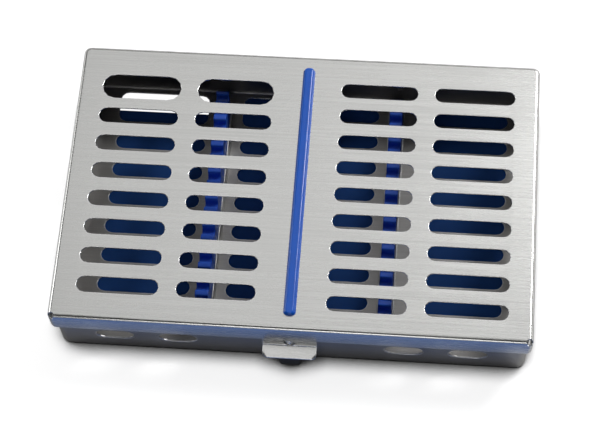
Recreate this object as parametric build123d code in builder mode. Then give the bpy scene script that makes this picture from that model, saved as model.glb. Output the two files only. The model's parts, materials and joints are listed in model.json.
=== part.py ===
"""Dental instrument cassette, closed: a slotted steel lid hinged on a slotted steel tray.

Instruments lie along X across two notched silicone rails and are held down by the bead of a silicone
strip in the middle of the lid. A push button at the front frees the lid's tab.
Frame: X along the long side, Y from the front to the hinge, Z up. The origin is the middle of the
tray's underside, which rests on the table at Z = 0. Sizes are in millimetres.
"""

from build123d import *
from math import cos, radians, sin
import os

os.makedirs("parts", exist_ok=True)

# ---- sheet steel and the two pans
sheet = 0.8
lid_length = 205.0
lid_width = 132.2
closed_height = 33.6
flange_height = 11.6
lid_bend_radius = 1.8
lid_front_corner_radius = 2.2
lid_back_corner_radius = 3.2
lid_wall_gap = 0.7
lid_rim_gap = 0.6
tray_bend_radius = 2.0
tray_corner_radius = 4.0

# ---- slots of the lid, measured in from the lid's edges
lid_slot_side_margin = 10.7
lid_outer_slot_length = 35.3
lid_inner_slot_length = 34.0
lid_slot_web = 7.5
lid_front_margin = 9.5
tall_row_inset = 19.85
tall_slot_width = 11.8
left_row_inset = 34.5
left_row_pitch = 13.6
left_slot_width = 7.3
right_row_inset = 16.7
right_row_pitch = 12.77
right_slot_width = 6.85

slot_end_flats = 6

# ---- corner relief of the lid's front bends
relief_radius = 1.25
relief_inset_x = 1.5
relief_inset_y = 1.0
relief_depth = 2.6
seam_width = 0.3
flange_corner_radius = 3.0

# ---- slots of the tray, measured in from the tray's edges
floor_left_side_margin = 12.1
floor_left_outer_length = 41.4
floor_right_side_margin = 10.6
floor_right_outer_length = 40.4
floor_rail_web = 16.0
floor_inner_slot_length = 27.5
floor_front_margin = 9.0
floor_slot_width = 7.2
floor_tall_margin = 3.4
floor_tall_length = 15.2
floor_left_inset = 29.0
floor_left_pitch = 14.25
floor_right_inset = 9.7
floor_right_pitch = 13.3
wall_slot_length = 16.6
wall_slot_width = 8.0
wall_slot_height = 13.6
wall_slot_outer_x = 75.9
wall_slot_inner_x = 48.5
side_slot_pitch = 38.0

# ---- silicone strip of the lid
strip_end_margin = 6.85
strip_base_width = 5.4
strip_top_width = 3.6
strip_rise = 2.0
strip_end_radius = 1.5
plug_length = 10.0
plug_width = 3.0
plug_pitch = 25.0
plug_count = 5
plug_clearance = 0.05
press_bead_width = 6.0
press_bead_tip_width = 4.2
press_bead_depth = 5.0
press_bead_end_margin = 10.1

# ---- silicone rails and their steel channels
rail_length = 106.0
rail_width = 5.7
rail_top_height = 21.6
notch_pitch = 6.6
notch_width = 3.6
notch_depth = 4.0
notch_flats = 8
tooth_edge_break = 0.5
channel_sheet = 0.7
channel_height = 8.0
channel_bend_radius = 0.95
channel_clearance = 0.1
rail_rivet_radius = 1.5
rail_rivet_head_radius = 2.4
rail_rivet_head_height = 0.7
rail_rivet_pitch = 40.0
rail_rivet_count = 3

# ---- hinges
hinge_x = 48.5
hinge_pin_radius = 1.0
hinge_pin_sides = 20
hinge_running_gap = 0.05
hinge_drop = 1.8
lid_knuckle_length = 7.6
tray_knuckle_length = 8.2
knuckle_side_gap = 0.3
curl_angle = 270.0
curl_flats = 12
leaf_bottom = 8.0
leaf_height = 9.2
joggle_height = 1.2
pin_head_radius = 1.5
pin_head_length = 0.7
leaf_rivet_radius = 1.2
leaf_rivet_head_radius = 2.0
leaf_rivet_head_height = 0.8
leaf_rivet_pitch = 16.0
rivet_clearance = 0.05
rivet_head_sides = 12
rivet_shank_sides = 8

# ---- finger lip and push-button latch
tab_width = 23.4
tab_drop = 5.7
lip_reach = 5.5
lip_fall = 1.2
lip_bend_radius = 0.9
lip_corner_radius = 2.5
catch_hole_radius = 2.4
catch_height = 18.6
button_width = 9.8
button_height = 9.2
button_bottom = 2.8
button_reach = 5.6
button_corner_radius = 2.0
button_edge_break = 1.0
window_clearance = 0.25
slide_width = 13.0
slide_thickness = 1.8
slide_bottom = 2.4
slide_top = 21.2
slide_gap = 0.2
latch_travel = 1.2
nose_radius = 1.9
nose_shank_radius = 1.1
nose_hole_clearance = 0.4
nose_tip_gap = 0.15
nose_sides = 16
nose_dimple_radius = 0.6
nose_dimple_depth = 0.5
guide_side_gap = 0.3
guide_foot_length = 3.4
guide_bottom = 3.2
guide_top = 20.2
spring_sheet = 0.3
spring_width = 6.0
spring_seat_gap = 0.05
spring_solid_room = 1.0

# ---- derived places
half_length = lid_length / 2
half_width = lid_width / 2
flange_bottom = closed_height - flange_height
lid_underside = closed_height - sheet
tray_length = lid_length - 2 * (sheet + lid_wall_gap)
tray_width = lid_width - 2 * (sheet + lid_wall_gap)
tray_height = lid_underside - lid_rim_gap
tray_front = -tray_width / 2
rail_x = tray_length / 2 - floor_left_side_margin - floor_left_outer_length - floor_rail_web / 2


def row_centres(first, pitch, last_allowed):
    """Y of each row from first towards the front, as many as stay behind last_allowed."""
    count = int((first - last_allowed) / pitch) + 1
    return [first - row * pitch for row in range(count)]


def corner_spandrel(x, y, side_x, side_y, radius):
    """Draws the waste outside a rounded corner at (x, y), whose material lies away from side_x, side_y."""
    with Locations((x - side_x * radius / 2, y - side_y * radius / 2)):
        Rectangle(radius, radius)
    with Locations((x - side_x * radius, y - side_y * radius)):
        Circle(radius, mode=Mode.SUBTRACT)


def slot_points(length, width):
    """Corners of an obround slot along X, whose round ends are drawn with a few flats."""
    straight = (length - width) / 2
    turns = [radians(180 * step / slot_end_flats - 90) for step in range(slot_end_flats + 1)]
    right_end = [(straight + width / 2 * cos(turn), width / 2 * sin(turn)) for turn in turns]
    return right_end + [(-x, -y) for x, y in right_end]


def rivet(plane, grip, shank_radius, head_radius, head_height):
    """Adds a rivet whose shank runs along the plane's normal through the grip, with its head behind it."""
    with BuildSketch(plane) as shank:
        RegularPolygon(shank_radius, rivet_shank_sides)
    extrude(shank.sketch, amount=grip)
    with BuildSketch(plane) as head:
        RegularPolygon(head_radius, rivet_head_sides)
    extrude(head.sketch, amount=-head_height, taper=25)


# ---- lid: a pan bent down on four sides, slotted, with its latch tab and hinge knuckles
lid_outer_slot_x = half_length - lid_slot_side_margin - lid_outer_slot_length / 2
lid_inner_slot_x = lid_outer_slot_x - (lid_outer_slot_length + lid_inner_slot_length) / 2 - lid_slot_web
left_limit = -half_width + lid_front_margin + left_slot_width / 2
right_limit = -half_width + lid_front_margin + right_slot_width / 2
left_rows = [(half_width - tall_row_inset, tall_slot_width)]
for row_y in row_centres(half_width - left_row_inset, left_row_pitch, left_limit):
    left_rows.append((row_y, left_slot_width))
right_rows = []
for row_y in row_centres(half_width - right_row_inset, right_row_pitch, right_limit):
    right_rows.append((row_y, right_slot_width))

lip_root = flange_bottom - tab_drop
knuckle_radius = hinge_pin_radius + hinge_running_gap
knuckle_mean_radius = knuckle_radius + sheet / 2
hinge_y = half_width - sheet + knuckle_radius + sheet
hinge_z = flange_bottom - hinge_drop
hinge_length = 2 * (lid_knuckle_length + knuckle_side_gap) + tray_knuckle_length
lid_knuckle_offset = (tray_knuckle_length + lid_knuckle_length) / 2 + knuckle_side_gap


def curl_points(turn):
    """Middle line of a knuckle's sheet, from the pin's front round the pin by turn degrees."""
    angles = [radians(180 + turn * step / curl_flats) for step in range(curl_flats + 1)]
    reach = knuckle_mean_radius
    return [(hinge_y + reach * cos(angle), hinge_z + reach * sin(angle)) for angle in angles]


plug_hole_length = plug_length + 2 * plug_clearance
plug_hole_width = plug_width + 2 * plug_clearance
plug_places = [(step - (plug_count - 1) / 2) * plug_pitch for step in range(plug_count)]

relief_x = half_length - relief_inset_x
seam_y = lid_front_corner_radius + seam_width / 2 - half_width
lip_tip_y = -half_width - lip_reach

with BuildPart() as lid:
    with BuildSketch(Plane.XY.offset(flange_bottom)):
        Rectangle(lid_length, lid_width)
        fillet(vertices().group_by(Axis.Y)[-1], lid_back_corner_radius)
        fillet(vertices().group_by(Axis.Y)[0], lid_front_corner_radius)
    extrude(amount=flange_height)
    fillet(edges().group_by(Axis.Z)[-1], lid_bend_radius)
    offset(amount=-sheet, openings=faces().sort_by(Axis.Z)[0])
    with BuildSketch(Plane.XY.offset(closed_height)):
        for side, rows in ((-1, left_rows), (1, right_rows)):
            for row_y, width in rows:
                with Locations((side * lid_outer_slot_x, row_y)):
                    Polygon(*slot_points(lid_outer_slot_length, width))
                with Locations((side * lid_inner_slot_x, row_y)):
                    Polygon(*slot_points(lid_inner_slot_length, width))
        with Locations(*[(0, place) for place in plug_places]):
            Rectangle(plug_hole_width, plug_hole_length)
    extrude(amount=-2 * sheet, mode=Mode.SUBTRACT)
    # round relief where the front bend meets each side bend, and the seam below it
    with BuildSketch(Plane.XY.offset(closed_height)):
        with Locations(*[(side * relief_x, relief_inset_y - half_width) for side in (-1, 1)]):
            Circle(relief_radius)
    extrude(amount=-relief_depth, mode=Mode.SUBTRACT)
    with BuildSketch(Plane.XY.offset(flange_bottom)):
        with Locations(*[(side * (half_length - sheet / 2), seam_y) for side in (-1, 1)]):
            Rectangle(2 * sheet, seam_width)
    extrude(amount=flange_height - relief_depth + sheet, mode=Mode.SUBTRACT)
    with BuildSketch(Plane.XZ.offset(half_width)):
        for side in (-1, 1):
            corner_spandrel(side * half_length, flange_bottom, side, -1, flange_corner_radius)
    extrude(amount=-lid_front_corner_radius - seam_width / 2, mode=Mode.SUBTRACT)
    # tab that runs on from the front flange and bends out as the finger lip
    flange_mid = half_width - sheet / 2
    with BuildSketch(Plane.YZ):
        with BuildLine():
            FilletPolyline(
                (-flange_mid, flange_bottom + sheet),
                (-flange_mid, lip_root - sheet / 2),
                (lip_tip_y - sheet, lip_root - sheet / 2 - lip_fall),
                radius=lip_bend_radius,
            )
        trace(line_width=sheet)
    extrude(amount=tab_width / 2, both=True)
    with BuildSketch(Plane.XY.offset(lip_root)):
        with Locations((0, lip_tip_y - sheet)):
            Rectangle(tab_width, 2 * sheet)
        for side in (-1, 1):
            corner_spandrel(side * tab_width / 2, lip_tip_y, side, -1, lip_corner_radius)
    extrude(amount=-2 * (lip_fall + sheet), mode=Mode.SUBTRACT)
    with BuildSketch(Plane.XZ.offset(half_width + sheet)):
        with Locations((0, catch_height)):
            RegularPolygon(catch_hole_radius, nose_sides)
    extrude(amount=-3 * sheet, mode=Mode.SUBTRACT)
    # knuckles rolled from the back flange
    for side in (-1, 1):
        for end in (-1, 1):
            knuckle_x = side * hinge_x + end * lid_knuckle_offset
            with BuildSketch(Plane.YZ.offset(knuckle_x)):
                with BuildLine():
                    Polyline((flange_mid, flange_bottom + sheet), *curl_points(curl_angle))
                trace(line_width=sheet)
            extrude(amount=lid_knuckle_length / 2, both=True)

# ---- tray: a drawn pan with a slotted floor and walls
floor_left_outer_x = floor_left_outer_length / 2 + floor_left_side_margin - tray_length / 2
floor_right_outer_x = tray_length / 2 - floor_right_side_margin - floor_right_outer_length / 2
floor_inner_slot_x = rail_x - floor_rail_web / 2 - floor_inner_slot_length / 2
floor_left_rows = (floor_left_inset, floor_left_pitch, floor_left_outer_x, floor_left_outer_length)
floor_right_rows = (floor_right_inset, floor_right_pitch, floor_right_outer_x, floor_right_outer_length)
floor_front_limit = tray_front + floor_front_margin
window_width = button_width + 2 * window_clearance
window_height = button_height + 2 * window_clearance
window_centre = button_bottom + button_height / 2
channel_rivet_places = [
    (step - (rail_rivet_count - 1) / 2) * rail_rivet_pitch for step in range(rail_rivet_count)
]
leaf_rivet_height = leaf_bottom + leaf_height / 2
leaf_rivet_places = [side * hinge_x + end * leaf_rivet_pitch / 2 for side in (-1, 1) for end in (-1, 1)]

with BuildPart() as tray:
    with BuildSketch():
        RectangleRounded(tray_length, tray_width, tray_corner_radius)
    extrude(amount=tray_height)
    fillet(edges().group_by(Axis.Z)[0], tray_bend_radius)
    offset(amount=-sheet, openings=faces().sort_by(Axis.Z)[-1])
    with BuildSketch():
        # the two rearmost openings on the left are as tall as two rows run together
        tall_y = tray_width / 2 - floor_tall_margin - floor_tall_length / 2
        tall_straight = floor_tall_length - floor_slot_width
        for slot_x, length in (
            (floor_left_outer_x, floor_left_outer_length),
            (-floor_inner_slot_x, floor_inner_slot_length),
        ):
            with Locations((slot_x, tall_y)):
                Rectangle(length, tall_straight)
            with Locations((slot_x, tall_y - tall_straight / 2), (slot_x, tall_y + tall_straight / 2)):
                Polygon(*slot_points(length, floor_slot_width))
        front_row_limit = floor_front_limit + floor_slot_width / 2
        for side, (inset, pitch, outer_x, outer_length) in ((-1, floor_left_rows), (1, floor_right_rows)):
            for row_y in row_centres(tray_width / 2 - inset, pitch, front_row_limit):
                with Locations((outer_x, row_y)):
                    Polygon(*slot_points(outer_length, floor_slot_width))
                with Locations((side * floor_inner_slot_x, row_y)):
                    Polygon(*slot_points(floor_inner_slot_length, floor_slot_width))
        for place in channel_rivet_places:
            with Locations((-rail_x, place), (rail_x, place)):
                RegularPolygon(rail_rivet_radius + rivet_clearance, rivet_shank_sides)
    extrude(amount=2 * sheet, mode=Mode.SUBTRACT)
    with BuildSketch(Plane.XZ.offset(tray_width / 2 + sheet)):
        for slot_x in (-wall_slot_outer_x, -wall_slot_inner_x, wall_slot_inner_x, wall_slot_outer_x):
            with Locations((slot_x, wall_slot_height)):
                Polygon(*slot_points(wall_slot_length, wall_slot_width))
        with Locations((0, window_centre)):
            RectangleRounded(window_width, window_height, button_corner_radius)
        with Locations((0, catch_height)):
            RegularPolygon(nose_radius + nose_hole_clearance, nose_sides)
    extrude(amount=-3 * sheet, mode=Mode.SUBTRACT)
    with BuildSketch(Plane.XZ.offset(-tray_width / 2 - sheet)):
        with Locations((0, wall_slot_height)):
            Polygon(*slot_points(wall_slot_length, wall_slot_width))
        with Locations(*[(rivet_x, leaf_rivet_height) for rivet_x in leaf_rivet_places]):
            RegularPolygon(leaf_rivet_radius + rivet_clearance, rivet_shank_sides)
    extrude(amount=3 * sheet, mode=Mode.SUBTRACT)
    with BuildSketch(Plane.YZ.offset(-tray_length / 2 - sheet)):
        with Locations(*[(step * side_slot_pitch, wall_slot_height) for step in (-1, 0, 1)]):
            Polygon(*slot_points(wall_slot_length, wall_slot_width))
    extrude(amount=tray_length + 2 * sheet, mode=Mode.SUBTRACT)

# ---- silicone strip: ridge on the lid, plugs through it and a pressing bead below, in one moulding
strip_length = lid_width - 2 * strip_end_margin
press_bead_length = lid_width - 2 * press_bead_end_margin
with BuildPart() as lid_strip:
    with BuildSketch(Plane.XZ.offset(-strip_length / 2)):
        with BuildLine():
            Polyline(
                (-strip_base_width / 2, closed_height),
                (strip_base_width / 2, closed_height),
                (strip_top_width / 2, closed_height + strip_rise),
                (-strip_top_width / 2, closed_height + strip_rise),
                close=True,
            )
        make_face()
    extrude(amount=strip_length)
    with BuildSketch(Plane.XY.offset(closed_height)):
        RectangleRounded(strip_base_width, strip_length, strip_end_radius)
    extrude(amount=strip_rise, mode=Mode.INTERSECT)
    with BuildSketch(Plane.XY.offset(lid_underside)):
        with Locations(*[(0, place) for place in plug_places]):
            Rectangle(plug_width, plug_length)
    extrude(amount=sheet)
    with BuildSketch(Plane.XZ.offset(-press_bead_length / 2)):
        with BuildLine():
            Polyline(
                (-press_bead_width / 2, lid_underside),
                (press_bead_width / 2, lid_underside),
                (press_bead_tip_width / 2, lid_underside - press_bead_depth),
                (-press_bead_tip_width / 2, lid_underside - press_bead_depth),
                close=True,
            )
        make_face()
    extrude(amount=press_bead_length)

# ---- rails: silicone combs, pressed into steel channels that are riveted to the floor
channel_inner = rail_width + 2 * channel_clearance
channel_outer = channel_inner + 2 * channel_sheet
channel_floor = sheet + channel_sheet
rail_seat = channel_floor + rail_rivet_head_height + rivet_clearance
notch_count = int(rail_length / notch_pitch)
notch_places = [(step - (notch_count - 1) / 2) * notch_pitch for step in range(notch_count)]

rail_nodes = []
for side, name in ((-1, "left"), (1, "right")):
    rail_plane = Plane.YZ.offset(side * rail_x)
    with BuildPart() as rail:
        with BuildSketch(rail_plane):
            with Locations((0, rail_seat)):
                Rectangle(rail_length, rail_top_height - rail_seat, align=(Align.CENTER, Align.MIN))
            notch_floor = rail_top_height - notch_depth + notch_width / 2
            with Locations(*[(place, notch_floor) for place in notch_places]):
                RegularPolygon(notch_width / 2, notch_flats, mode=Mode.SUBTRACT)
                Rectangle(notch_width, notch_depth, align=(Align.CENTER, Align.MIN), mode=Mode.SUBTRACT)
            chamfer(vertices().group_by(Axis.Y)[-1], tooth_edge_break)
        extrude(amount=rail_width / 2, both=True)
    rail_nodes.append((rail, "rail_" + name))

    with BuildPart() as channel:
        with BuildSketch(Plane.XZ.offset(-rail_length / 2)):
            with Locations((side * rail_x, sheet)):
                Rectangle(channel_outer, channel_height, align=(Align.CENTER, Align.MIN))
            fillet(vertices().group_by(Axis.Y)[0], channel_bend_radius)
            with Locations((side * rail_x, channel_floor)):
                Rectangle(
                    channel_inner, channel_height, align=(Align.CENTER, Align.MIN), mode=Mode.SUBTRACT
                )
        extrude(amount=rail_length)
        with BuildSketch(Plane.XY.offset(sheet)):
            with Locations(*[(side * rail_x, place) for place in channel_rivet_places]):
                RegularPolygon(rail_rivet_radius + rivet_clearance, rivet_shank_sides)
        extrude(amount=channel_sheet, mode=Mode.SUBTRACT)
    rail_nodes.append((channel, "rail_channel_" + name))

    with BuildPart() as channel_rivets:
        for place in channel_rivet_places:
            head_seat = Plane((side * rail_x, place, channel_floor), z_dir=(0, 0, -1))
            rivet(head_seat, channel_floor, rail_rivet_radius, rail_rivet_head_radius, rail_rivet_head_height)
    rail_nodes.append((channel_rivets, "rail_rivets_" + name))

# ---- hinges: a leaf with one knuckle on the tray, between two knuckles of the lid, on a headed pin
leaf_top = leaf_bottom + leaf_height
leaf_mid = tray_width / 2 + sheet / 2
hinge_nodes = []
for side, name in ((-1, "left"), (1, "right")):
    with BuildPart() as leaf:
        with BuildSketch(Plane.XZ.offset(-tray_width / 2)):
            with Locations((side * hinge_x, leaf_rivet_height)):
                Rectangle(hinge_length, leaf_height)
            with Locations(
                *[(side * hinge_x + end * leaf_rivet_pitch / 2, leaf_rivet_height) for end in (-1, 1)]
            ):
                RegularPolygon(
                    leaf_rivet_radius + rivet_clearance, rivet_shank_sides, mode=Mode.SUBTRACT
                )
        extrude(amount=-sheet)
        with BuildSketch(Plane.YZ.offset(side * hinge_x)):
            with BuildLine():
                Polyline(
                    (leaf_mid, leaf_top - sheet),
                    (leaf_mid, leaf_top),
                    (flange_mid, leaf_top + joggle_height),
                    *curl_points(-curl_angle),
                )
            trace(line_width=sheet)
        extrude(amount=tray_knuckle_length / 2, both=True)
    hinge_nodes.append((leaf, "hinge_leaf_" + name))

    with BuildPart() as hinge_pin:
        with BuildSketch(Plane.YZ.offset(side * hinge_x)):
            with Locations((hinge_y, hinge_z)):
                RegularPolygon(hinge_pin_radius, hinge_pin_sides)
        extrude(amount=hinge_length / 2 + knuckle_side_gap, both=True)
        for end in (-1, 1):
            with BuildSketch(Plane.YZ.offset(side * hinge_x + end * (hinge_length / 2 + knuckle_side_gap))):
                with Locations((hinge_y, hinge_z)):
                    RegularPolygon(pin_head_radius, rivet_head_sides)
            extrude(amount=end * pin_head_length)
    hinge_nodes.append((hinge_pin, "hinge_pin_" + name))

    with BuildPart() as leaf_rivets:
        for end in (-1, 1):
            rivet_x = side * hinge_x + end * leaf_rivet_pitch / 2
            outer_seat = Plane((rivet_x, tray_width / 2 + sheet, leaf_rivet_height), z_dir=(0, -1, 0))
            rivet(outer_seat, 2 * sheet, leaf_rivet_radius, leaf_rivet_head_radius, leaf_rivet_head_height)
            inner_seat = Plane((rivet_x, tray_width / 2 - sheet, leaf_rivet_height), z_dir=(0, 1, 0))
            rivet(inner_seat, sheet, leaf_rivet_radius, leaf_rivet_head_radius, leaf_rivet_head_height)
    hinge_nodes.append((leaf_rivets, "hinge_rivets_" + name))

# ---- latch: a button on a slide behind the front wall, whose nose lies in the tab's catch hole
wall_inside = tray_front + sheet
slide_front = wall_inside + slide_gap
slide_back = slide_front + slide_thickness
guide_inside = slide_back + latch_travel + spring_solid_room
nose_tip = -half_width + sheet + nose_tip_gap

with BuildPart() as latch_button:
    with BuildSketch(Plane.XZ.offset(-slide_back)):
        with Locations((0, slide_bottom)):
            Rectangle(slide_width, slide_top - slide_bottom, align=(Align.CENTER, Align.MIN))
    extrude(amount=slide_thickness)
    with BuildSketch(Plane.XZ.offset(-slide_front)):
        with Locations((0, window_centre)):
            RectangleRounded(button_width, button_height, button_corner_radius)
    extrude(amount=slide_front - tray_front + button_reach)
    chamfer(edges().group_by(Axis.Y)[0], button_edge_break)
    with BuildSketch(Plane.XZ.offset(-slide_front)):
        with Locations((0, catch_height)):
            RegularPolygon(nose_shank_radius + rivet_clearance, rivet_shank_sides)
    extrude(amount=-slide_thickness, mode=Mode.SUBTRACT)

with BuildPart() as latch_nose:
    with BuildSketch(Plane.XZ.offset(-slide_front)):
        with Locations((0, catch_height)):
            RegularPolygon(nose_radius, nose_sides)
    extrude(amount=slide_front - nose_tip)
    with BuildSketch(Plane.XZ.offset(-slide_front)):
        with Locations((0, catch_height)):
            RegularPolygon(nose_shank_radius, rivet_shank_sides)
    extrude(amount=-slide_thickness)
    with BuildSketch(Plane.XZ.offset(-nose_tip)):
        with Locations((0, catch_height)):
            RegularPolygon(nose_dimple_radius, rivet_shank_sides)
    extrude(amount=-nose_dimple_depth, mode=Mode.SUBTRACT)

guide_leg = slide_width / 2 + guide_side_gap + sheet / 2
guide_foot = guide_leg + guide_foot_length
with BuildPart() as latch_guide:
    with BuildSketch(Plane.XY.offset(guide_bottom)):
        with BuildLine():
            Polyline(
                (-guide_foot, wall_inside + sheet / 2),
                (-guide_leg, wall_inside + sheet / 2),
                (-guide_leg, guide_inside + sheet / 2),
                (guide_leg, guide_inside + sheet / 2),
                (guide_leg, wall_inside + sheet / 2),
                (guide_foot, wall_inside + sheet / 2),
            )
        trace(line_width=sheet)
    extrude(amount=guide_top - guide_bottom)

spring_end = guide_inside - spring_seat_gap - spring_sheet / 2
spring_crown = slide_back + spring_seat_gap + spring_sheet / 2
spring_half_span = slide_width / 2 - sheet
with BuildPart() as latch_spring:
    with BuildSketch(Plane.XY.offset((guide_bottom + guide_top - spring_width) / 2)):
        with BuildLine():
            ThreePointArc((-spring_half_span, spring_end), (0, spring_crown), (spring_half_span, spring_end))
        trace(line_width=spring_sheet)
    extrude(amount=spring_width)

# ---- files, one for each piece
pieces = [(lid, "lid"), (tray, "tray"), (lid_strip, "lid_strip")] + rail_nodes + hinge_nodes
pieces += [(latch_button, "latch_button"), (latch_nose, "latch_nose")]
pieces += [(latch_guide, "latch_guide"), (latch_spring, "latch_spring")]
for piece, name in pieces:
    piece.part.label = name
    export_step(piece.part, f"parts/{name}.step")
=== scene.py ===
import json

import bmesh
import bpy
from math import asin, cos, radians, sin
from mathutils import Matrix, Vector

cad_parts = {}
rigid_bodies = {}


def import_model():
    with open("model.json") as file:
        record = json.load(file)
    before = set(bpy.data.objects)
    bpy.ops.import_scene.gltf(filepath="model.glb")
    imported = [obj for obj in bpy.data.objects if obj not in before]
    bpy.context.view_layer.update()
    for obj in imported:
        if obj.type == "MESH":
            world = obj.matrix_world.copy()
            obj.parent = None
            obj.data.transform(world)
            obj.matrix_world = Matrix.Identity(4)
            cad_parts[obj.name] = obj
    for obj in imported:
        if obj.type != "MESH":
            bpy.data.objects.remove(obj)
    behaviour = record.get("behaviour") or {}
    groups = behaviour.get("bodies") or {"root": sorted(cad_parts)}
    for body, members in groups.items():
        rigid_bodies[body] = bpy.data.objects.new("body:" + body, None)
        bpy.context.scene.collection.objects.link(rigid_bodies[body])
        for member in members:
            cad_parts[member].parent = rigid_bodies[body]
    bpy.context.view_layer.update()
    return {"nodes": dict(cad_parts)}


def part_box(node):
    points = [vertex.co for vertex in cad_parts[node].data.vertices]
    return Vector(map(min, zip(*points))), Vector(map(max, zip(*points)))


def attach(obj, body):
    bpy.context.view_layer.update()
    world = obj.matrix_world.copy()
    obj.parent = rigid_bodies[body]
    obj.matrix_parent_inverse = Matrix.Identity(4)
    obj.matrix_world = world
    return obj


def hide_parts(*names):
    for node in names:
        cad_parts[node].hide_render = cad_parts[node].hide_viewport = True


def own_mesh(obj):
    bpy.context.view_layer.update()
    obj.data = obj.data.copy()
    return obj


for leftover in list(bpy.data.objects):
    bpy.data.objects.remove(leftover)
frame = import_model()
nodes = frame["nodes"]


# Camera: the closed cassette is seen from above its front edge, a little from the right,
# with the whole lid, the front wall and the finger tab in view.
camera_data = bpy.data.cameras.new("camera")
camera_data.lens = 111.69
camera_data.sensor_width = 36.0
camera_data.clip_start = 0.05
camera_data.clip_end = 30.0
camera = bpy.data.objects.new("camera", camera_data)
camera.location = (0.053223, -0.350229, 0.758931)
camera.rotation_euler = (radians(25.2634), radians(2.1058), radians(4.3098))
bpy.context.scene.collection.objects.link(camera)
bpy.context.scene.camera = camera


# Lid: one stainless sheet, punched with slots, brushed from side to side and bent down on four sides.
# The brushing runs along the lid and turns down with the sheet at the short sides, where it is fainter.
# Every edge is rolled and smoother than the sheet, so that it catches the bright room, and its colour is
# painted lighter there as a painted highlight.
def new_material(name):
    made = bpy.data.materials.new(name)
    made.use_nodes = True
    tree = made.node_tree
    return made, tree, tree.nodes["Principled BSDF"]


def place(tree, kind, settings=None, **inputs):
    made = tree.nodes.new("ShaderNode" + kind)
    for name, value in (settings or {}).items():
        setattr(made, name, value)
    for name, value in inputs.items():
        socket = made.inputs[int(name[1:])] if name[1:].isdigit() else made.inputs[name.replace("_", " ")]
        if isinstance(value, bpy.types.NodeSocket):
            tree.links.new(value, socket)
        else:
            socket.default_value = value
    return made


def plus_share(tree, base, value, share):
    """Gives base + share * value."""
    return place(tree, "Math", {"operation": "MULTIPLY_ADD"}, _0=value, _1=share, _2=base).outputs[0]


def new_group(name, inputs, outputs):
    tree = bpy.data.node_groups.new(name, "ShaderNodeTree")
    for label, kind, value in inputs:
        socket = tree.interface.new_socket(label, in_out="INPUT", socket_type="NodeSocket" + kind)
        socket.default_value = value
    for label, kind in outputs:
        tree.interface.new_socket(label, in_out="OUTPUT", socket_type="NodeSocket" + kind)
    return tree, tree.nodes.new("NodeGroupInput").outputs, tree.nodes.new("NodeGroupOutput").inputs


def brushed_sheet_group():
    tree, given, result = new_group(
        "brushed_sheet",
        [
            ("Colour", "Color", (0.7, 0.7, 0.7, 1.0)),
            ("Painted Edge Highlight", "Color", (0.95, 0.95, 0.95, 1.0)),
            ("Roughness", "Float", 0.3),
            ("Brushing", "Float", 0.5),
            ("Smudges", "Float", 0.3),
            ("Edge Width", "Float", 0.0003),
        ],
        [("Colour", "Color"), ("Roughness", "Float"), ("Height", "Float"), ("Normal", "Vector")],
    )
    where = place(tree, "TexCoord").outputs["Object"]
    facing = place(tree, "NewGeometry").outputs["True Normal"]
    sideways = place(tree, "SeparateXYZ", Vector=facing).outputs["X"]
    steep, faint = 0.6, 0.15
    side_wall = place(
        tree, "Math", {"operation": "GREATER_THAN"},
        _0=place(tree, "Math", {"operation": "ABSOLUTE"}, _0=sideways).outputs[0], _1=steep,
    ).outputs[0]
    lines = []
    long_strokes, short_strokes = (11.0, 1100.0), (60.0, 4200.0)
    for along, across in (long_strokes, short_strokes):
        level = place(tree, "Mapping", Vector=where, Scale=(along, across, across)).outputs[0]
        upright = place(tree, "Mapping", Vector=where, Scale=(0.0, across, along)).outputs[0]
        turned = place(tree, "Mix", {"data_type": "VECTOR"}, _0=side_wall, _4=level, _5=upright).outputs[1]
        lines.append(place(tree, "TexNoise", Vector=turned, Scale=1.0, Detail=3.0, Roughness=0.6).outputs[0])
    short_share, mean_stroke = 0.5, 0.75
    brushing = plus_share(tree, lines[0], lines[1], short_share)
    brushing = place(tree, "Math", {"operation": "SUBTRACT"}, _0=brushing, _1=mean_stroke).outputs[0]
    on_the_flat = place(tree, "MapRange", Value=side_wall, _1=0.0, _2=1.0, _3=1.0, _4=faint).outputs[0]
    brushing = place(tree, "Math", {"operation": "MULTIPLY"}, _0=brushing, _1=on_the_flat).outputs[0]
    smudge = place(tree, "TexNoise", Vector=where, Scale=22.0, Detail=4.0, Roughness=0.55).outputs[0]
    smudge = place(tree, "Math", {"operation": "SUBTRACT"}, _0=smudge, _1=0.5).outputs[0]

    rolled = place(tree, "Bevel", {"samples": 6}, Radius=given["Edge Width"]).outputs[0]
    square = place(tree, "VectorMath", {"operation": "DOT_PRODUCT"}, _0=rolled, _1=facing).outputs["Value"]
    still_flat, rolled_over = 0.998, 0.94
    edge = place(tree, "MapRange", Value=square, _1=still_flat, _2=rolled_over, _3=0.0, _4=1.0).outputs[0]

    grain = place(tree, "Math", {"operation": "MULTIPLY"}, _0=brushing, _1=given["Brushing"]).outputs[0]
    haze = place(tree, "Math", {"operation": "MULTIPLY"}, _0=smudge, _1=given["Smudges"]).outputs[0]
    haze_on_colour, haze_on_roughness, grain_on_roughness, edge_on_roughness = 0.35, 0.25, 0.25, -0.08
    shade = plus_share(tree, grain, haze, haze_on_colour)
    shade = place(tree, "Math", {"operation": "ADD"}, _0=shade, _1=1.0).outputs[0]
    plain = place(tree, "VectorMath", {"operation": "SCALE"}, Vector=given["Colour"], Scale=shade).outputs[0]
    # The edge mask also paints the colour lighter at every rolled edge: a painted highlight.
    colour = place(tree, "Mix", {"data_type": "RGBA"}, _0=edge, _6=plain, _7=given["Painted Edge Highlight"]).outputs[2]
    tree.links.new(colour, result["Colour"])
    rough = plus_share(tree, given["Roughness"], haze, haze_on_roughness)
    rough = plus_share(tree, rough, grain, grain_on_roughness)
    rough = plus_share(tree, rough, edge, edge_on_roughness)
    tree.links.new(rough, result["Roughness"])
    tree.links.new(grain, result["Height"])
    tree.links.new(rolled, result["Normal"])
    return tree


brushed_sheet = brushed_sheet_group()


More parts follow.
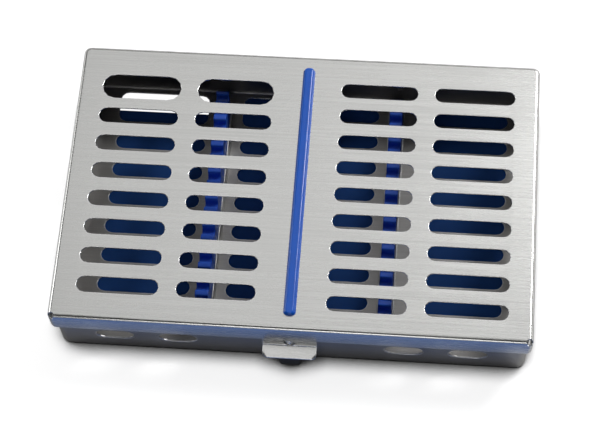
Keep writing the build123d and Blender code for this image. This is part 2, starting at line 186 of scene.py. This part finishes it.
def steel(name, colour, roughness, brushing, smudges, painted_edge_highlight=0.95, edge_width=0.0007):
    made, tree, shader = new_material(name)
    sheet = tree.nodes.new("ShaderNodeGroup")
    sheet.node_tree = brushed_sheet
    sheet.inputs["Colour"].default_value = (*colour, 1.0)
    sheet.inputs["Painted Edge Highlight"].default_value = (painted_edge_highlight, painted_edge_highlight, painted_edge_highlight, 1.0)
    sheet.inputs["Roughness"].default_value = roughness
    sheet.inputs["Brushing"].default_value = brushing
    sheet.inputs["Smudges"].default_value = smudges
    sheet.inputs["Edge Width"].default_value = edge_width
    stroke_depth = 0.00004
    bump = place(tree, "Bump", Height=sheet.outputs["Height"], Strength=0.1, Distance=stroke_depth)
    shader.inputs["Metallic"].default_value = 1.0
    tree.links.new(sheet.outputs["Colour"], shader.inputs["Base Color"])
    tree.links.new(sheet.outputs["Roughness"], shader.inputs["Roughness"])
    tree.links.new(bump.outputs[0], shader.inputs["Normal"])
    return made


def dress(name, material):
    shown = nodes[name]
    for index in range(len(shown.material_slots)):
        shown.material_slots[index].material = material
    return shown


def ease_edges(shown, width, angle=40.0):
    weld = shown.modifiers.new("weld", "WELD")
    weld.merge_threshold = 0.000005
    eased = shown.modifiers.new("eased_edges", "BEVEL")
    eased.width = width
    eased.segments = 2
    eased.profile = 0.5
    eased.limit_method = "ANGLE"
    eased.angle_limit = radians(angle)
    eased.use_clamp_overlap = False
    eased.loop_slide = False
    shown.modifiers.new("even_shading", "WEIGHTED_NORMAL")


lid = dress("lid", steel("lid_steel", (0.72, 0.72, 0.705), 0.27, 0.32, 0.25))
sheet_edge = 0.00022
ease_edges(lid, sheet_edge)


# Strip: a blue silicone bead moulded through a row of holes along the lid's middle.
# Its plugs hold it, and the bead below presses the instruments on to the rails.
def silicone_group():
    tree, given, result = new_group(
        "moulded_silicone",
        [("Colour", "Color", (0.02, 0.08, 0.4, 1.0)), ("Roughness", "Float", 0.4), ("Bloom", "Float", 0.3)],
        [("Colour", "Color"), ("Roughness", "Float"), ("Height", "Float")],
    )
    where = place(tree, "TexCoord").outputs["Object"]
    cloud = place(tree, "TexNoise", Vector=where, Scale=160.0, Detail=4.0, Roughness=0.6).outputs[0]
    cloud = place(tree, "Math", {"operation": "SUBTRACT"}, _0=cloud, _1=0.5).outputs[0]
    skin = place(tree, "TexNoise", Vector=where, Scale=2600.0, Detail=3.0, Roughness=0.5).outputs[0]
    bloom = place(tree, "Math", {"operation": "MULTIPLY"}, _0=cloud, _1=given["Bloom"]).outputs[0]
    shade = place(tree, "Math", {"operation": "ADD"}, _0=bloom, _1=1.0).outputs[0]
    colour = place(tree, "VectorMath", {"operation": "SCALE"}, Vector=given["Colour"], Scale=shade).outputs[0]
    tree.links.new(colour, result["Colour"])
    bloom_on_roughness = 0.4
    rough = plus_share(tree, given["Roughness"], bloom, bloom_on_roughness)
    tree.links.new(rough, result["Roughness"])
    tree.links.new(skin, result["Height"])
    return tree


moulded_silicone = silicone_group()


def silicone(name, colour, roughness):
    made, tree, shader = new_material(name)
    body = tree.nodes.new("ShaderNodeGroup")
    body.node_tree = moulded_silicone
    body.inputs["Colour"].default_value = (*colour, 1.0)
    body.inputs["Roughness"].default_value = roughness
    bump = place(tree, "Bump", Height=body.outputs["Height"], Strength=0.15, Distance=0.00005)
    tree.links.new(body.outputs["Colour"], shader.inputs["Base Color"])
    tree.links.new(body.outputs["Roughness"], shader.inputs["Roughness"])
    tree.links.new(bump.outputs[0], shader.inputs["Normal"])
    shader.inputs["Specular IOR Level"].default_value = 0.5
    return made


def moulded_bar(shape, low, high, narrowing, long_edge, end_corner):
    """Adds a bar between two corners, narrower at its far side in Z, with rounded upright and long edges."""
    bar = bmesh.ops.create_cube(shape, size=1.0)["verts"]
    size = [b - a for a, b in zip(low, high)]
    bmesh.ops.scale(shape, vec=size, verts=bar)
    bmesh.ops.translate(shape, vec=[(a + b) / 2 for a, b in zip(low, high)], verts=bar)
    outer = [vert for vert in bar if abs(vert.co.z - high[2]) < 1e-6]
    bmesh.ops.scale(shape, vec=(narrowing, 1.0, 1.0), verts=outer)
    bar_edges = {edge for vert in bar for edge in vert.link_edges}
    upright = [edge for edge in bar_edges if abs(edge.verts[0].co.z - edge.verts[1].co.z) > 1e-5]
    bevel = {"affect": "EDGES", "profile": 0.5, "clamp_overlap": True, "material": -1}
    bmesh.ops.bevel(shape, geom=upright, offset=end_corner, offset_type="OFFSET", segments=5, **bevel)
    rim = [
        edge for edge in shape.edges
        if all(abs(vert.co.z - high[2]) < 1e-6 for vert in edge.verts) and not all(
            abs(face.normal.z) > 0.9 for face in edge.link_faces)
    ]
    bmesh.ops.bevel(shape, geom=rim, offset=long_edge, offset_type="OFFSET", segments=4, **bevel)


def new_piece(name, shape, material):
    for face in shape.faces:
        face.smooth = True
    mesh = bpy.data.meshes.new(name)
    shape.to_mesh(mesh)
    shape.free()
    mesh.materials.append(material)
    made = bpy.data.objects.new(name, mesh)
    bpy.context.scene.collection.objects.link(made)
    made.modifiers.new("even_shading", "WEIGHTED_NORMAL")
    return made


low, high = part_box("lid_strip")
lid_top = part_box("lid")[1].z
lid_sheet = 0.0008
lid_underside = lid_top - lid_sheet
ridge_width, ridge_taper = 0.0054, 0.667
bead_half_length, bead_taper = 0.056, 0.7
plug_pitch, plug_half_width, plug_half_length = 0.025, 0.0015, 0.005
strip_shape = bmesh.new()
moulded_bar(
    strip_shape, (-ridge_width / 2, low.y, lid_top), (ridge_width / 2, high.y, high.z),
    narrowing=ridge_taper, long_edge=0.0007, end_corner=0.0014,
)
moulded_bar(
    strip_shape, (low.x, -bead_half_length, lid_underside), (high.x, bead_half_length, low.z),
    narrowing=bead_taper, long_edge=0.0007, end_corner=0.001,
)
for plug in range(-2, 3):
    middle = plug * plug_pitch
    moulded_bar(
        strip_shape,
        (-plug_half_width, middle - plug_half_length, lid_underside),
        (plug_half_width, middle + plug_half_length, lid_top),
        narrowing=1.0, long_edge=0.0001, end_corner=0.0004,
    )
bmesh.ops.recalc_face_normals(strip_shape, faces=strip_shape.faces)
strip = new_piece("strip_moulding", strip_shape, silicone("strip_silicone", (0.006, 0.12, 0.66), 0.12))
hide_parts("lid_strip")
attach(strip, "lid")


# Tray: a drawn stainless pan with a slotted floor for rinsing, slots in its walls and a window for the latch.
# It is duller than the brushed lid, and its colour is painted darker than the lid's, as painted shade for the
# inside of the pan.
tray = dress("tray", steel("tray_steel", (0.42, 0.41, 0.40), 0.4, 0.35, 0.3))
ease_edges(tray, sheet_edge)


# Rails: two notched blue silicone combs that the instruments lie on, in steel channels riveted to the
# floor. The combs are more matt than the strip.
rail_silicone = silicone("rail_silicone", (0.014, 0.10, 0.62), 0.42)
channel_steel = steel("channel_steel", (0.45, 0.45, 0.45), 0.36, 0.2, 0.3, painted_edge_highlight=0.6)
fastener_steel = steel("fastener_steel", (0.62, 0.62, 0.61), 0.28, 0.1, 0.3, edge_width=0.0002)
for side in ("left", "right"):
    ease_edges(dress("rail_" + side, rail_silicone), 0.0003)
    ease_edges(dress("rail_channel_" + side, channel_steel), 0.0002)
    ease_edges(dress("rail_rivets_" + side, fastener_steel), 0.0002)


# Hinges: leaves riveted to the back wall, each with one rolled knuckle round a headed pin.
# The leaves are satin sheet, the pins and rivets turned steel.
hinge_steel = steel("hinge_steel", (0.58, 0.58, 0.575), 0.33, 0.25, 0.3)
for side in ("left", "right"):
    ease_edges(dress("hinge_leaf_" + side, hinge_steel), 0.0002)
    ease_edges(dress("hinge_pin_" + side, fastener_steel), 0.0002)
    ease_edges(dress("hinge_rivets_" + side, fastener_steel), 0.0002)


# Latch: a black moulded button under the finger tab, on a slide behind the wall, with a steel nose
# for the tab's hole. A bent steel guide holds the slide, and a leaf spring pushes it out.
def moulded_plastic():
    made, tree, shader = new_material("button_plastic")
    where = place(tree, "TexCoord").outputs["Object"]
    grain = place(tree, "TexNoise", Vector=where, Scale=3500.0, Detail=2.0).outputs[0]
    darkest, lightest, smoothest, roughest = 0.008, 0.016, 0.36, 0.46
    tone = place(tree, "MapRange", Value=grain, _1=0.3, _2=0.7, _3=darkest, _4=lightest).outputs[0]
    colour = place(tree, "CombineColor", _0=tone, _1=tone, _2=tone).outputs[0]
    rough = place(tree, "MapRange", Value=grain, _1=0.3, _2=0.7, _3=smoothest, _4=roughest).outputs[0]
    bump = place(tree, "Bump", Height=grain, Strength=0.2, Distance=0.00005)
    tree.links.new(colour, shader.inputs["Base Color"])
    tree.links.new(rough, shader.inputs["Roughness"])
    tree.links.new(bump.outputs[0], shader.inputs["Normal"])
    return made


ease_edges(dress("latch_button", moulded_plastic()), 0.0003)


def domed_nose(front, back, middle_z, radius):
    """A turned pin along Y with a rounded rim and a dimple in its front."""
    rounding, face_width, dimple_slope, dimple_depth = (share * radius for share in (0.35, 0.3, 0.1, 0.3))
    shape = bmesh.new()
    ends = bmesh.ops.create_cone(
        shape, cap_ends=True, segments=32, radius1=radius, radius2=radius, depth=back - front
    )["verts"]
    bmesh.ops.rotate(shape, verts=ends, matrix=Matrix.Rotation(radians(90), 3, "X"))
    bmesh.ops.translate(shape, verts=ends, vec=(0.0, (front + back) / 2, middle_z))
    face = min(shape.faces, key=lambda cap: cap.calc_center_median().y)
    bmesh.ops.bevel(
        shape, geom=list(face.edges), offset=rounding, offset_type="OFFSET", segments=4,
        profile=0.5, affect="EDGES", clamp_overlap=True, material=-1,
    )
    face = min(shape.faces, key=lambda cap: cap.calc_center_median().y)
    bmesh.ops.inset_region(shape, faces=[face], thickness=face_width, depth=0.0)
    bmesh.ops.inset_region(shape, faces=[face], thickness=dimple_slope, depth=-dimple_depth)
    bmesh.ops.recalc_face_normals(shape, faces=shape.faces)
    return shape


# The turned nose fills the tab's round hole; its dimpled end lies just inside the tab's outer face.
tab_face, recess = -0.0661, 0.0001
nose_low, nose_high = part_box("latch_nose")
nose_middle = (nose_low.z + nose_high.z) / 2
nose_shape = domed_nose(tab_face + recess, nose_high.y, nose_middle, (nose_high.x - nose_low.x) / 2)
nose = new_piece("nose_turned", nose_shape, fastener_steel)
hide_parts("latch_nose")
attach(nose, "latch")
ease_edges(dress("latch_guide", channel_steel), 0.0002)


def arched_leaf(low, high, sheet, steps):
    """A strip of spring steel between two corners, arched towards the button, its ends against the guide."""
    rise = high.y - low.y - sheet
    half_span = high.x - sheet / 2
    radius = (half_span**2 + rise**2) / (2 * rise)
    sweep = asin(half_span / radius)
    centre_y = low.y + sheet / 2 + radius
    outer, inner = radius + sheet / 2, radius - sheet / 2
    corners = ((outer, low.z), (inner, low.z), (inner, high.z), (outer, high.z))
    shape = bmesh.new()
    rings = []
    for step in range(steps + 1):
        angle = sweep * (2 * step / steps - 1)
        rings.append([shape.verts.new((r * sin(angle), centre_y - r * cos(angle), z)) for r, z in corners])
    for ring, following in zip(rings, rings[1:]):
        for corner in range(4):
            shape.faces.new((ring[corner - 1], ring[corner], following[corner], following[corner - 1]))
    shape.faces.new(rings[0])
    shape.faces.new(rings[-1])
    bmesh.ops.recalc_face_normals(shape, faces=shape.faces)
    return shape


leaf_low, leaf_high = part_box("latch_spring")
leaf_sheet, leaf_steps = 0.0003, 24
spring_steel = steel("spring_steel", (0.42, 0.42, 0.44), 0.25, 0.1, 0.2)
leaf = new_piece("leaf_spring", arched_leaf(leaf_low, leaf_high, leaf_sheet, leaf_steps), spring_steel)
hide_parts("latch_spring")
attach(leaf, "tray")
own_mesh(leaf)


# Floor: a plain pale studio floor, and under the tray only, the dark blue sheet that the cassette stands on.
def flat_stage(name, low, high, height, material):
    shape = bmesh.new()
    bmesh.ops.create_grid(shape, x_segments=1, y_segments=1, size=0.5)
    bmesh.ops.scale(shape, vec=(high[0] - low[0], high[1] - low[1], 1.0), verts=shape.verts)
    middle = ((low[0] + high[0]) / 2, (low[1] + high[1]) / 2, height)
    bmesh.ops.translate(shape, vec=middle, verts=shape.verts)
    mesh = bpy.data.meshes.new(name)
    shape.to_mesh(mesh)
    shape.free()
    made = bpy.data.objects.new(name, mesh)
    bpy.context.scene.collection.objects.link(made)
    mesh.materials.append(material)
    return made


def seen_by_camera(tree):
    return place(tree, "LightPath").outputs["Is Camera Ray"]


# The floor glows for the camera, so that it reads as white paper, but the glow fades out close in round the
# foot of the tray, and the paper's colour is painted darker there by the ambient occlusion: a painted shadow
# at the foot, besides the floor's own shadow.
pale, pale_tree, pale_shader = new_material("pale_floor")
pale_shader.inputs["Roughness"].default_value = 0.9
pale_shader.inputs["Specular IOR Level"].default_value = 0.0
shadow_reach, floor_glow, painted_foot_shade, paper_tone = 0.012, 0.78, 0.04, 0.8
openness = place(pale_tree, "AmbientOcclusion", {"samples": 12}, Distance=shadow_reach).outputs["AO"]
away = place(pale_tree, "MapRange", Value=openness, _1=0.5, _2=0.85, _3=0.0, _4=floor_glow).outputs[0]
# Painted shade: the paper's colour darkens towards the foot of the tray, where the ambient occlusion is low.
tone = place(pale_tree, "MapRange", Value=openness, _1=0.45, _2=0.72, _3=painted_foot_shade, _4=paper_tone).outputs[0]
paper = place(pale_tree, "CombineColor", _0=tone, _1=tone, _2=tone).outputs[0]
pale_tree.links.new(paper, pale_shader.inputs["Base Color"])
lift = place(pale_tree, "Math", {"operation": "MULTIPLY"}, _0=seen_by_camera(pale_tree), _1=away).outputs[0]
glow = place(pale_tree, "Emission", Strength=lift).outputs[0]
both = place(pale_tree, "AddShader", _0=pale_shader.outputs[0], _1=glow).outputs[0]
pale_tree.links.new(both, pale_tree.nodes["Material Output"].inputs["Surface"])
floor_half, floor_height = 3.0, -0.0002
flat_stage("floor", (-floor_half, -floor_half), (floor_half, floor_half), floor_height, pale)

# Under the tray only: a dark blue sheet, and the white background in the rear left openings.
navy, navy_tree, navy_shader = new_material("blue_sheet")
navy_shader.inputs["Base Color"].default_value = (0.0, 0.06, 0.27, 1.0)
navy_shader.inputs["Roughness"].default_value = 0.8
sheet_height = -0.0001
sheet_side, sheet_front, sheet_back = 0.096, -0.060, 0.0519
patch_right, patch_back = -0.037, 0.062
flat_stage("blue_sheet", (-sheet_side, sheet_front), (sheet_side, sheet_back), sheet_height, navy)
flat_stage("blue_sheet_right", (patch_right, sheet_back), (sheet_side, patch_back), sheet_height, navy)

white, white_tree, _ = new_material("white_background")
shine = place(white_tree, "Emission", Strength=seen_by_camera(white_tree)).outputs[0]
white_tree.links.new(shine, white_tree.nodes["Material Output"].inputs["Surface"])
flat_stage("white_background", (-sheet_side, sheet_back), (patch_right, patch_back), sheet_height, white)


# Light: a key box behind to the right and a broad box behind overhead, both mirrored by the lid, a weak
# one at the left, a small one straight above for the lip, and a fill in front for the wall.
def soft_box(name, place_at, aim, size, power):
    lamp_data = bpy.data.lights.new(name, "AREA")
    lamp_data.shape = "RECTANGLE"
    lamp_data.size = size[0]
    lamp_data.size_y = size[1]
    lamp_data.energy = power
    lamp = bpy.data.objects.new(name, lamp_data)
    lamp.location = place_at
    lamp.rotation_euler = (Vector(place_at) - Vector(aim)).to_track_quat("Z", "Y").to_euler()
    bpy.context.scene.collection.objects.link(lamp)


cassette_middle = (0.0, 0.0, 0.0)
soft_box("key", (0.60, 0.61, 0.955), cassette_middle, size=(0.4, 0.4), power=7.4)
soft_box("overhead", (-0.10, 0.52, 1.05), cassette_middle, size=(0.75, 0.6), power=0.92)
soft_box("left", (-1.0, 0.3, 0.6), cassette_middle, size=(0.4, 0.3), power=1.0)
soft_box("above_the_lip", (-0.06, -0.06, 1.0), (0.0, -0.07, 0.0), size=(0.35, 0.3), power=0.35)
soft_box("front_fill", (0.0, -1.0, 0.5), (0.0, -0.08, 0.0), size=(0.5, 0.3), power=1.2)


# A blue card lies on the floor in front, out of the picture; it glows by itself and lights nothing, and only
# the bright metal mirrors it: a painted reflection.
painted_reflection_card, card_tree, _ = new_material("painted_reflection_card")
card_glow = place(card_tree, "Emission", Color=(0.115, 0.18, 0.385, 1.0), Strength=1.0).outputs[0]
card_tree.links.new(card_glow, card_tree.nodes["Material Output"].inputs["Surface"])
card_half, card_front, card_back = 0.3, -0.6, -0.076
card = flat_stage("mirrored_card", (-card_half, card_front), (card_half, card_back), 0.0, painted_reflection_card)
card.visible_camera = False
card.visible_diffuse = False
card.visible_shadow = False

# The room is bright low down at the sides and the back, where rolled edges mirror it, and dark above
# and in front, which keeps the inside of the cassette dark.
world = bpy.data.worlds.new("studio")
bpy.context.scene.world = world
world.use_nodes = True
room = world.node_tree
direction = place(room, "SeparateXYZ", Vector=place(room, "TexCoord").outputs["Generated"])
horizon, ceiling, ceiling_from = 1.5, 0.11, 0.45
front_share, front_from, back_from = 0.12, -0.3, 0.1
up, back = direction.outputs["Z"], direction.outputs["Y"]
level = place(room, "MapRange", Value=up, _1=0.0, _2=ceiling_from, _3=horizon, _4=ceiling).outputs[0]
fore = place(room, "MapRange", Value=back, _1=front_from, _2=back_from, _3=front_share, _4=1.0).outputs[0]
level = place(room, "Math", {"operation": "MULTIPLY"}, _0=level, _1=fore).outputs[0]
strength = place(room, "Mix", {"data_type": "FLOAT"}, _0=seen_by_camera(room), _2=level, _3=1.0).outputs[0]
room.links.new(strength, room.nodes["Background"].inputs["Strength"])
room.nodes["Background"].inputs["Color"].default_value = (1.0, 1.0, 1.0, 1.0)

bpy.context.scene.view_settings.view_transform = "Standard"
